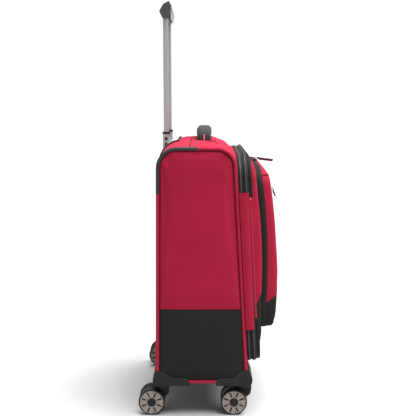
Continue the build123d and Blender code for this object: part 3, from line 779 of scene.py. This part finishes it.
def flap(name, s, reach_low, reach_high):
    """The storm flap over the zips on one side, sewn to the case along its back edge."""
    grid = []
    for up in spread(FLAP_LOW, FLAP_HIGH, 60, 0.5):
        t = (up - FLAP_LOW) / (FLAP_HIGH - FLAP_LOW)
        reach = reach_low + (reach_high - reach_low) * t
        hem = 0.5 * exp(-min(up - FLAP_LOW, FLAP_HIGH - up) / 1.5)
        stitch = -0.5 * (bell(up, FLAP_LOW + 7.0, 1.0) + bell(up, FLAP_HIGH - 6.0, 1.0))
        row = []
        for k in range(15):
            u = k / 14
            swell = 4.2 + 1.6 * sin(pi * min(1.0, u * 1.05)) - 0.7 * ease((u - 0.8) / 0.2)
            wave = ripple((u * 20, up, 3.0 * s), 26.0, 0.7)
            row.append(front(s * (RING_HALF + swell + hem + stitch + wave), 0.7 + reach * u, up))
        grid.append(row[::-s])
    piece = slab(name, grid, 0.9, "red", body="case", crease=60.0)


flap("Zip_flap_left", -1, 17.0, 19.6)
flap("Zip_flap_right", 1, 9.2, 9.6)


# ---- lid ----
STRIP_HALF = 6.0
STRIP_FOOT = 215.0
STRIP_SPAN = 330.0


def strip_middle(up):
    """How far out the pocket's zip strip stands: it bows with the front of the lid."""
    return 37.5 + 9.0 * sin(pi * min(1.0, max(0.0, (up - STRIP_FOOT) / STRIP_SPAN)))


# (up, out) of the lid's face at its foot and at its top
LID_FOOT_PROFILE = [(109.0, 21.0), (121.0, 22.0), (172.0, 31.0), (215.0, 32.0)]
LID_TOP_PROFILE = [
    (495.0, 41.0), (506.0, 34.8), (513.0, 33.0), (520.0, 30.0), (527.0, 25.5), (533.0, 20.6),
]


def lid_face(up):
    """How far out the lid's front stands, without the rounding of its edge."""
    if up < STRIP_FOOT:
        return curve_through(LID_FOOT_PROFILE, up)
    return min(strip_middle(up) - STRIP_HALF + 0.3, curve_through(LID_TOP_PROFILE, up))


def rounded(d, edge, power):
    """How far the cloth has come round from wall to face, 0 to 1, at a distance in from the outline."""
    return max(0.0, 1 - (1 - min(1.0, d / edge)) ** power) ** (1 / power)


def lid_grid(inset):
    """The lid's side wall and face in one cloth, or its lining when inset."""

    def place(x, up, d):
        edge = 3.0 + 2.0 * ease((up - 125.0) / 40.0) * ease((520.0 - up) / 40.0)
        wall = LID_BACK + 1.6
        out = wall + (lid_face(up) - inset - wall) * rounded(d, edge, 3.4)
        return front(x, out + ripple((x, up, 5.0), 55.0, 0.9) * ease(d / 25.0), up)

    return front_grid(LID, inset, 64, 84, place, 0.92)


def lid_shell():
    """The lid: red above and black below a slanting seam, with a pale lining."""
    names = (("Lid_fabric", "lid_panel"), ("Lid_base_fabric", "lid_base"))
    tilt = (UP * 13.0 - OUT * 25.0).normalized()
    grid = settle(lid_grid(0.0), pressure=0.6, cap=1.2)
    two_parts(grid, 1.6, names, front(0.0, 23.0, 231.0), tilt, "lid")
    lining = slab("Lid_lining", lid_grid(3.2), 0.7, "lining", body="lid")


lid_shell()


WELT_TOP_EDGE = [(20.6, 533.0), (25.5, 527.0), (30.0, 520.0)]  # (out, height) down the lid's top
WELT_BAND = [  # (side, out) round the black binding
    (-1.6, 20.6), (0.9, 20.8), (2.1, 22.2), (1.5, 23.6), (1.4, 24.4), (2.1, 25.6), (1.4, 27.4),
    (-1.6, 27.8),
]


def lid_welt():
    """The binding along the lid's back edge: black over the top, red down the sides, black below."""
    path = front_path(*LID, 4.0)
    heights = [height_of(p) for p, a, b in path]

    def section(i, station):
        point, side, out = station
        upright = max(0.35, side.dot(UP))
        past = [max(0.0, height_of(point) - curve_through(WELT_TOP_EDGE, b)) for a, b in WELT_BAND]
        return [(a - over / upright, b) for (a, b), over in zip(WELT_BAND, past)]

    above = part_of(path, [h > WELT_HIGH for h in heights])
    below = part_of(path, [h < WELT_LOW for h in heights])
    sweep("Lid_welt_top", above, section, "strip", False, body="lid")
    sweep("Lid_welt_foot", below, section, "strip", False, body="lid")
    for side, s in SIDES:
        run = [q for q, h in zip(path, heights) if WELT_LOW - 3 <= h <= WELT_HIGH + 3 and q[0].x * s > 0]
        sweep(f"Lid_welt_{side}", run, ring_of(2.5, 12, at=(0.1, 21.5)), "red_trim", False, body="lid")
        x = s * (LID_HALF + 1.2)
        tack = [(front(x, 19.6 + 0.6 * k, WELT_HIGH - 3.0), X * s, UP) for k in range(9)]
        sweep(f"Welt_tack_{side}", tack, ring_of(1.5, 8, 1.2), "thread_red", False, body="lid")


lid_welt()


# ---- pocket ----
DOOR_PROFILE = [  # (up, out) of the pocket's face
    (179.0, 53.5), (186.0, 58.0), (212.0, 63.3), (258.0, 68.4), (300.0, 70.9),
    (390.0, 70.2), (451.0, 66.9), (480.0, 64.0), (489.0, 62.6), (497.5, 56.8), (506.0, 50.8),
]


def pocket_strip():
    """The zip strip that joins the pocket's front to the lid, bowed along with it."""
    path = front_path(*POCKET, 4.0)
    half = [(-0.4, STRIP_HALF), (0.7, 3.4), (1.1, 1.0), (0.5, 0.4)]
    face = [(a, -b) for a, b in half] + half[::-1]

    def section(i, station):
        point = station[0]
        middle = strip_middle(height_of(point))
        lift = ripple(point, 30.0, 0.4)
        back = [(-2.6, middle + STRIP_HALF), (-2.6, middle - STRIP_HALF)]
        return [(a + lift, middle + b) for a, b in face] + back

    sweep("Pocket_zip_strip", path, section, "strip", body="lid", stands_for="pocket_zip")


pocket_strip()


TOP_SEAM_UP = 489.0
FOOT_SEAM_UP = 247.0
FRONT_ZIP_UP = 452.0
FRONT_ZIP_HALF = 96.0


def pocket_grid(inset):
    """The pocket's rounded wall and face in one cloth, or its lining when inset."""

    def place(x, up, d):
        edge = 3.5 + 3.5 * ease((up - 186.0) / 26.0) * ease((492.0 - up) / 36.0)
        wall = strip_middle(up) + STRIP_HALF + 0.3
        face = max(curve_through(DOOR_PROFILE, up) - inset, wall + 0.4)
        seam = -1.3 * bell(up, TOP_SEAM_UP, 1.2) * ease(d / 3.0)
        foot = -0.8 * bell(up, FOOT_SEAM_UP, 1.3) * ease(d / 6.0)
        sewn = bell(up, FRONT_ZIP_UP, 12.0) * ease((FRONT_ZIP_HALF + 24.0 - abs(x)) / 24.0)
        wave = ripple((x, up, 11.0), 48.0, 1.2) * ease(d / 30.0) * (1 - sewn) - 0.7 * sewn
        return front(x, wall + (face - wall) * rounded(d, edge, 2.4) + seam + foot + wave, up)

    return front_grid(POCKET, inset, 60, 80, place, 0.85)


def pocket_seams(point):
    """How firmly the pocket's cloth is held at its two seams and along its short zip."""
    up = height_of(point)
    held = max(bell(up, TOP_SEAM_UP, 3.0), bell(up, FOOT_SEAM_UP, 3.0))
    if abs(point.x) < FRONT_ZIP_HALF + 6.0:
        held = max(held, bell(up, FRONT_ZIP_UP, 5.0))
    return held


def pocket_shell():
    """The pocket's padded front: a rounded wall, a sloping top facet and a black foot."""
    grid = settle(pocket_grid(0.0), pressure=1.4, cap=2.2, seams=pocket_seams)
    names = (("Pocket_fabric", "pocket_front"), ("Pocket_base_fabric", "pocket_base"))
    tilt = (UP * 21.0 - OUT * 14.0).normalized()
    two_parts(grid, 1.8, names, front(0.0, 45.0, 233.0), tilt, "pocket")

    def row_at(up):
        return min(grid, key=lambda r: abs(height_of(r[len(r) // 2]) - up))

    # painted shade: a dark cord along the pocket's top seam, standing in for the shadow in that seam
    row = row_at(TOP_SEAM_UP)
    line = []
    for before, p, after in zip(row[:1] + row, row, row[1:] + row[-1:]):
        normal = (after - before).normalized().cross(UP)
        line.append((p + normal * 0.3, UP, normal))
    sweep("Pocket_seam_shadow", line, ring_of(1.0, 8), "seam", False, body="pocket")
    line = [(p, UP, OUT) for p in row_at(FRONT_ZIP_UP) if abs(p.x) < FRONT_ZIP_HALF]
    band = [(-4.2, -0.6), (-4.2, 0.5), (-1.0, 0.75), (0.0, 0.25), (1.0, 0.75), (4.2, 0.5), (4.2, -0.6)]
    sweep("Front_zip_tape", line, band, "strip", False, body="pocket")
    lining = slab("Pocket_lining", pocket_grid(3.4), 0.7, "lining", body="pocket")


pocket_shell()


# ---- hinge cloths and lining ----
def hinge_cloth(name, half, out, up, span):
    """A strip of cloth along a lower edge."""
    places = [out + span * k / 5 for k in range(-5, 6)]
    grid = [[front(x, place, up - 1.3) for x in spread(-half, half, 30)] for place in places]
    piece = slab(name, grid, 0.8, "black")
    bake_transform(piece)


hinge_cloth("Lid_hinge_cloth", 122.0, 18.35, LID_BOTTOM, 6.0)
hinge_cloth("Pocket_hinge_cloth", 140.0, 50.15, POCKET_BOTTOM, 5.5)


def case_lining():
    """The pale lining inside the case, round the packing space and over both sides."""
    back, low, high, gap, half = 71.5, 77.0, 540.0, 6.0, HALF_WIDTH - 8.0
    corners = [(back, low), (back, high), (front_y(high) + gap, high), (front_y(low) + gap, low)]
    path = rounded_path(corners, [14.0, 14.0, 34.0, 20.0], 7.0)
    walls = [not (n.x < -0.9 and RING_BOTTOM - 4.0 < p.y < RING_TOP - 30.0) for p, n in path]
    run = part_of(path, walls)
    grid = [
        [Vector((x, p.x + ripple((x, p.x, p.y), 50.0, 0.5), p.y)) for p, n in run]
        for x in spread(-half, half, 26)
    ]
    piece = slab("Case_lining", grid, 0.8, "lining", body="case")
    length_of(run) * MM
    for side, s in SIDES:
        def place(y, z, d):
            return Vector((s * (half + ripple((y, z, s), 50.0, 0.5)), y, z))

        sheet = face_grid(
            lambda z: front_y(z) + gap, lambda z: back, low, high, (20.0, 14.0, 14.0, 34.0), 18, 40, place,
        )
        panel = slab(f"Side_lining_{side}", [row[::-s] for row in sheet], 0.8, "lining", body="case")


case_lining()


# ---- handles and pulls ----
def bend_path(points, count):
    """A smooth open path through a few (a, b) points, as (place, normal) pairs, normals to its left."""
    ends = [Vector(p) for p in points[:1] + points + points[-1:]]
    fine = []
    for before, a, b, after in zip(ends, ends[1:], ends[2:], ends[3:]):
        for k in range(12):
            t = k / 12
            square = 2 * before - 5 * a + 4 * b - after
            cube = 3 * a - before - 3 * b + after
            fine.append(0.5 * (2 * a + (b - before) * t + square * t * t + cube * t**3))
    fine.append(ends[-1])
    lengths = [0.0]
    for a, b in zip(fine, fine[1:]):
        lengths.append(lengths[-1] + (b - a).length)
    places = []
    for k in range(count + 1):
        want = lengths[-1] * k / count
        i = max(1, next((n for n, v in enumerate(lengths) if v >= want), len(lengths) - 1))
        t = (want - lengths[i - 1]) / max(1e-9, lengths[i] - lengths[i - 1])
        places.append(fine[i - 1].lerp(fine[i], t))
    path = []
    for k, p in enumerate(places):
        along = (places[min(k + 1, count)] - places[max(k - 1, 0)]).normalized()
        path.append((p, Vector((-along.y, along.x))))
    return path


def grip_strap(name, body, node, line, y, outward, leg, pad, reach):
    """A webbing handle along a line in (X, Z), with a padded middle over the share reach of it.

    leg and pad are (width, thickness).
    """
    path = [
        (Vector((p.x, y, p.y)), Y, Vector((n.x, 0, n.y)) * outward) for p, n in bend_path(line, 90)
    ]

    def size(i):
        share = ease((reach - abs(2 * i / (len(path) - 1) - 1)) / 0.16)
        return [a + (b - a) * share for a, b in zip(leg, pad)]

    def section(i, station):
        width, thick = size(i)
        half, over = width / 2, thick / 2
        drop = min(5.5, half * 0.4)
        right = [
            (half - 0.5, -over), (half, -over * 0.7), (half, -over * 0.25), (half - drop * 0.3, over * 0.3),
            (half - drop * 0.65, over * 0.72), (half - drop, over * 0.92), (half * 0.35, over), (0.0, over),
        ]
        return right + [(-a, b) for a, b in right[-2::-1]]

    piece = sweep(name, path, section, "webbing", False, body=body, stands_for=node, crease=50.0)
    for tag, sign in (("front", -1), ("back", 1)):
        def edge_section(i, station):
            width, thick = size(i)
            return ring_of(0.75, 8, at=(sign * (width / 2 - 0.15), -thick * 0.12))

        sweep(f"{name}_edge_{tag}", path, edge_section, "edging", False, body=body)


HANDLE_Y = 8.0
HANDLE_HALF = 92.5
arch = [(-HANDLE_HALF, 546.0), (-HANDLE_HALF, 560.0), (-88.5, 569.0)]
arch += [(-76.0, 575.5), (-56.0, 578.5), (0.0, 579.5)]
arch += [(-x, z) for x, z in arch[-2::-1]]
grip_strap(
    "Carry_handle", "top_handle", "carry_handle", arch, HANDLE_Y, 1,
    leg=(27.0, 3.2), pad=(29.5, 9.4), reach=0.86,
)

SIDE_HANDLE_Y = 20.0
SIDE_HANDLE_MIDDLE = 330.0
bow = [(171.0, 246.0), (178.5, 250.0), (183.0, 262.0), (184.0, 285.0), (184.0, SIDE_HANDLE_MIDDLE)]
bow += [(x, 2 * SIDE_HANDLE_MIDDLE - z) for x, z in bow[-2::-1]]
grip_strap(
    "Side_handle", "side_grip", "side_handle", bow, SIDE_HANDLE_Y, -1,
    leg=(25.0, 2.4), pad=(27.5, 5.2), reach=0.72,
)


def slot_rim(name, centre, normal, half_long, half_wide):
    """The sewn rim round a slot in the case that a strap goes through."""
    side = normal.cross(Y).normalized()
    corners = [(a * half_long, b * half_wide) for a, b in ((-1, -1), (1, -1), (1, 1), (-1, 1))]
    outline = rounded_path(corners, [half_wide * 0.9] * 4, 2.5)
    path = [(centre + Y * p.x + side * p.y, Y * n.x + side * n.y, normal) for p, n in outline]
    sweep(name, path, ring_of(1.1, 8), "red_trim", body="case")


for side, s in SIDES:
    tack = [Vector((s * (94.7 - 0.028 * k * k), HANDLE_Y, 555.5 + 1.25 * k)) for k in range(12)]
    path = [(p, X, Y) for p in tack]
    sweep(f"Handle_tack_{side}", path, ring_of(1.2, 8), "thread_red", False, body="top_handle")
for side, s in SIDES:
    x = s * HANDLE_HALF
    foot = Vector((x, HANDLE_Y, CASE_TOP + rise(x, HANDLE_Y)))
    slot_rim(f"Handle_slot_{side}", foot, Vector((s * 0.12, 0, 1)).normalized(), 17.5, 4.5)
    # painted shade: a dark cord curving across the top beside the handle's foot, standing in for the shadow
    # in a seam there
    path = []
    for k in range(17):
        t = k / 16
        x, y = s * (64.0 + 56.0 * t), -5.0 - 13.5 * sin(t * pi / 2)
        path.append((Vector((x, y, CASE_TOP + rise(x, y) + top_wave(x, y) - 0.2)), Y, Z))
    sweep(f"Handle_seam_shadow_{side}", path, ring_of(0.9, 8), "seam", False, body="case")
for end, z in (("low", 249.0), ("high", 411.0)):
    slot_rim(f"Side_slot_{end}", Vector((HALF_WIDTH + 0.9, SIDE_HANDLE_Y, z)), X, 15.5, 4.2)


def pull_tab(name, body, node, root, tip, across, width, thick):
    """A zip pull: a dark tab over a red backing, rounded at the tip, with a ring at its root."""
    along = (tip - root).normalized()
    normal = -across.cross(along).normalized()
    length = (tip - root).length
    steps = 18

    def layer(tag, look, low, high, head, trim, stands_for=""):
        places = [head + (length - head - trim) * k / steps for k in range(steps + 1)]

        def section(i, station):
            t = i / steps
            tail = sqrt(max(0.04, 1 - max(0.0, (t - 0.86) / 0.14) ** 2))
            half = width / 2 * tail * (0.55 + 0.45 * ease(t / 0.18))
            return [
                (-half, low), (-half + 0.4, low - 0.2), (half - 0.4, low - 0.2), (half, low),
                (half, high - 0.5), (half - 0.7, high), (-half + 0.7, high), (-half, high - 0.5),
            ]

        path = [(root + along * place, across, normal) for place in places]
        sweep(f"{name}_{tag}", path, section, look, False, body=body, stands_for=stands_for)

    layer("top", "rubber", 0.1, 0.6 * thick, 1.5, 0.0, node)
    layer("backing", "red_trim", -0.4 * thick, 0.0, 5.0, 0.8)
    ring = []
    for k in range(16):
        turn = along * cos(pi * k / 8) + normal * sin(pi * k / 8)
        ring.append((root + turn * 2.6, turn, across))
    sweep(f"{name}_ring", ring, ring_of(0.8, 8), "dark_metal", body=body)


def far_end(node, root):
    """The middle of the end of a CAD pull that lies furthest from its pivot."""
    low, high = (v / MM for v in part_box(node))
    x, inset = (low.x + high.x) / 2, 1.2
    ends = [
        Vector((x, y, z))
        for y in (low.y + inset, high.y - inset) for z in (low.z + inset, high.z - inset)
    ]
    return max(ends, key=lambda p: (p - root).length)


for name, body, node, across, width, thick, share, kick in (
    ("Top_pull", "pocket_zip_pull", "pocket_pull", X, 13.0, 5.0, 1.0, 0.0),
    ("Front_pull", "front_zip_pull", "front_pull", X, 10.0, 3.2, 0.72, 6.5),
    ("Main_pull", "main_zip_pull", "main_pull", Y, 9.0, 2.4, 1.0, 0.0),
):
    root = Vector(joints[f"{node}_hinge"]["pos_m"]) / MM
    tip = far_end(node, root)
    root.x = tip.x
    pull_tab(name, body, node, root, root.lerp(tip, share) + OUT * kick, across, width, thick)


def bezel_run(x, lift, front_y_limit, low_z):
    """Points up the back of the case and over its edge at one width, standing off the cloth."""
    run = [(p, n) for p, n in side_path(0.0, step=3.0) if p.x > front_y_limit and p.y > low_z]
    return [Vector((x, p.x + n.x * lift, p.y + n.y * lift + rise(x, p.x, p.y))) for p, n in run]


def bezel():
    """The black bezel round the foot of the pull-out handle, with its pale tray and raised lip."""
    shell = [bezel_run(x, 2.6, 59.0, 524.0) for x in spread(-86.0, 86.0, 40, 0.4)]
    slab("Handle_bezel", shell, 4.2, "plastic", body="case", stands_for="handle_bezel")
    tray = [bezel_run(x, 3.1, 63.0, 531.0) for x in spread(-80.0, 80.0, 36, 0.4)]
    slab("Bezel_tray", tray, 1.4, "pale", body="case")
    lip = []
    for x in spread(-79.0, 79.0, 40, 0.6):
        end = ease((79.0 - abs(x)) / 7.0)
        lip.append((Vector((x, 0, CASE_TOP + rise(x, 64.0))), Y, Z * (0.35 + 0.65 * end)))
    section = [(61.0, -2.0), (61.6, 1.8), (64.5, 3.4), (69.0, 3.0), (75.0, 0.6), (79.5, -4.0), (79.0, -9.0)]
    sweep("Bezel_lip", lip, section, "pale", False, body="case")


bezel()


def top_seam_shadow():
    """A dark cord along the sewn seam across the top, just in front of the bezel, painted shade for the
    shadow in that seam.
    """
    path = []
    for x in spread(-170.0, 170.0, 60):
        z = CASE_TOP + rise(x, TOP_SEAM_Y) + top_wave(x, TOP_SEAM_Y) - 0.7
        path.append((Vector((x, TOP_SEAM_Y, z)), Y, Z))
    sweep("Top_seam_shadow", path, ring_of(0.75, 8), "seam", False, body="case")


top_seam_shadow()


# ---- wheels ----
def wheel_mesh():
    """One wheel in its own space, outer face towards +X: tyre, slotted hub face and cap."""
    tyre, hub, cap = range(3)
    wheel_r, hub_r, cap_r, half = 27.0, 24.0, 9.0, 7.0
    slot_in, slot_out, slot_half, slot_deep = 12.0, 21.5, 1.3, 2.0
    slots, edges, plain = 8, 5, 9  # slots round the hub, stations over one, stations between two
    rings = [  # radius, depth below the outer face, look of the band that ends here
        (0.6, 0.0, cap), (4.0, 0.05, cap), (7.4, 0.2, cap), (cap_r, 0.7, cap), (cap_r + 0.1, 1.3, cap),
        (cap_r + 0.7, 1.3, hub), (slot_in - 0.4, 1.2, hub), (slot_in, 1.2, hub), (slot_out, 1.0, hub),
        (slot_out + 0.4, 1.0, hub), (hub_r - 1.1, 0.8, hub), (hub_r - 0.5, 0.5, hub),
        (hub_r - 0.1, 0.9, hub), (hub_r, 1.5, tyre), (hub_r + 0.4, 1.4, tyre), (hub_r + 0.9, 0.9, tyre),
        (wheel_r - 1.5, 1.0, tyre), (wheel_r - 0.5, 1.9, tyre), (wheel_r, 3.6, tyre),
        (wheel_r, 10.8, tyre), (wheel_r - 0.5, 12.4, tyre), (wheel_r - 1.5, 13.4, tyre),
        (hub_r + 0.6, 13.7, tyre), (hub_r, 12.8, tyre), (hub_r - 3.0, 12.6, hub), (8.0, 13.1, hub),
        (4.2, 13.1, cap),
    ]
    pitch = 2 * pi / slots
    points, looks = [], []
    for r, depth, _ in rings:
        reach = asin(slot_half / max(r, 8.0))
        lip = 1.12 * reach
        stops = [-lip, -0.86 * reach, 0.0, 0.86 * reach, lip]
        stops += [lip + (pitch - 2 * lip) * k / (plain + 1) for k in range(1, plain + 1)]
        sunk = slot_in - 0.01 <= r <= slot_out + 0.01
        for k in range(slots):
            for c, turn in enumerate(stops):
                x = half - depth - (slot_deep if sunk and c in (1, 2, 3) else 0.0)
                angle = pitch * (k + 0.5) + turn
                points.append((x, r * cos(angle), r * sin(angle)))
    columns = len(points) // len(rings)
    faces = quads(len(rings), columns, False, True) + [tuple(range(columns))]
    for (r, _, _), (_, _, look) in zip(rings, rings[1:]):
        for c in range(columns):
            in_slot = slot_in - 0.5 <= r <= slot_out and c % (edges + plain) < edges - 1
            looks.append(cap if in_slot else look)
    return points, faces, looks + [cap]


wheel_points, wheel_faces, wheel_looks = wheel_mesh()
for end in ("front", "rear"):
    for side, s in SIDES:
        for place, outward in (("outer", s), ("inner", -s)):
            node = f"wheel_{end}_{side}_{place}"
            low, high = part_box(node)
            piece = make(
                node.capitalize(), wheel_points, wheel_faces, "tyre hub plastic",
                stands_for=node, crease=28.0, face_looks=wheel_looks,
            )
            piece.location = (low + high) / 2
            piece.rotation_euler = (0.0, 0.0, 0.0 if outward > 0 else pi)
            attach(piece, node)


# ---- CAD parts that stay in view ----
LOOKS = {
    "plastic": ["tube_foot", "tube_collars", "push_rods", "lock_bolts"],
    "gloss": ["grip_shell", "release_button"],
    "tube": ["outer_tubes", "inner_tubes"],
    "silver": ["grip_fascia"],
    "steel": ["swivel_kingpins", "button_spring"],
    "dark_metal": ["tube_rivets", "pocket_slider", "front_slider", "main_slider"],
    "board": ["back_board", "frame_hoop"],
}
for end in ("front", "rear"):
    for side in ("left", "right"):
        LOOKS["plastic"] += [f"corner_guard_{end}_{side}", f"fork_{end}_{side}"]
        LOOKS["steel"].append(f"axle_{end}_{side}")
for look, nodes in LOOKS.items():
    for node in nodes:
        mesh = frame["nodes"][node].data
        mesh.materials.clear()
        mesh.materials.append(M[look])
        smooth(mesh, 30.0)


# ---- stage, light and camera ----
FLOOR = 9000.0
corners = [(-FLOOR, -FLOOR, 0), (FLOOR, -FLOOR, 0), (FLOOR, FLOOR, 0), (-FLOOR, FLOOR, 0)]
make("Floor", corners, [(0, 1, 2, 3)], "floor")


def stand(name, data, place, aim, axis):
    """Puts a light or camera at a place in metres, with one of its axes along aim."""
    thing = bpy.data.objects.new(name, data)
    bpy.context.scene.collection.objects.link(thing)
    thing.location = place
    thing.rotation_mode = "QUATERNION"
    thing.rotation_quaternion = aim.to_track_quat(axis, "Y")
    return thing


LIGHT_FROM = Vector((-0.02, -0.3, 1.0))
light = bpy.data.lights.new("Key_light", "SUN")
light.energy = 10.2
light.angle = radians(60.0)
stand("Key_light", light, LIGHT_FROM, LIGHT_FROM, "Z")


def studio():
    """A dim sky that lights the object, with plain white behind it for the camera."""
    world = bpy.data.worlds.new("Studio")
    bpy.context.scene.world = world
    world.use_nodes = True
    tree = world.node_tree
    sky = tree.nodes["Background"]
    backdrop = tree.nodes.new("ShaderNodeBackground")
    ray = tree.nodes.new("ShaderNodeLightPath")
    mixed = tree.nodes.new("ShaderNodeMixShader")
    plug(tree, sky, {"Color": (0.97, 0.985, 1.0, 1.0), "Strength": 0.5})
    plug(tree, backdrop, {"Color": (1.0, 1.0, 1.0, 1.0), "Strength": 1.0})
    shaders = {1: sky.outputs["Background"], 2: backdrop.outputs["Background"]}
    plug(tree, mixed, {"Fac": ray.outputs["Is Camera Ray"], **shaders})
    plug(tree, tree.nodes["World Output"], {"Surface": mixed.outputs["Shader"]})


studio()
bpy.context.scene.view_settings.view_transform = "Standard"

CAMERA_AT = Vector((-1.663, 0.0, 0.6365))
CAMERA_PITCH = radians(7.95)
lens = bpy.data.cameras.new("Camera")
lens.sensor_width = 36.0
lens.lens = 66.29
aim = Vector((cos(CAMERA_PITCH), 0.0, -sin(CAMERA_PITCH)))
bpy.context.scene.camera = stand("Camera", lens, CAMERA_AT, aim, "-Z")
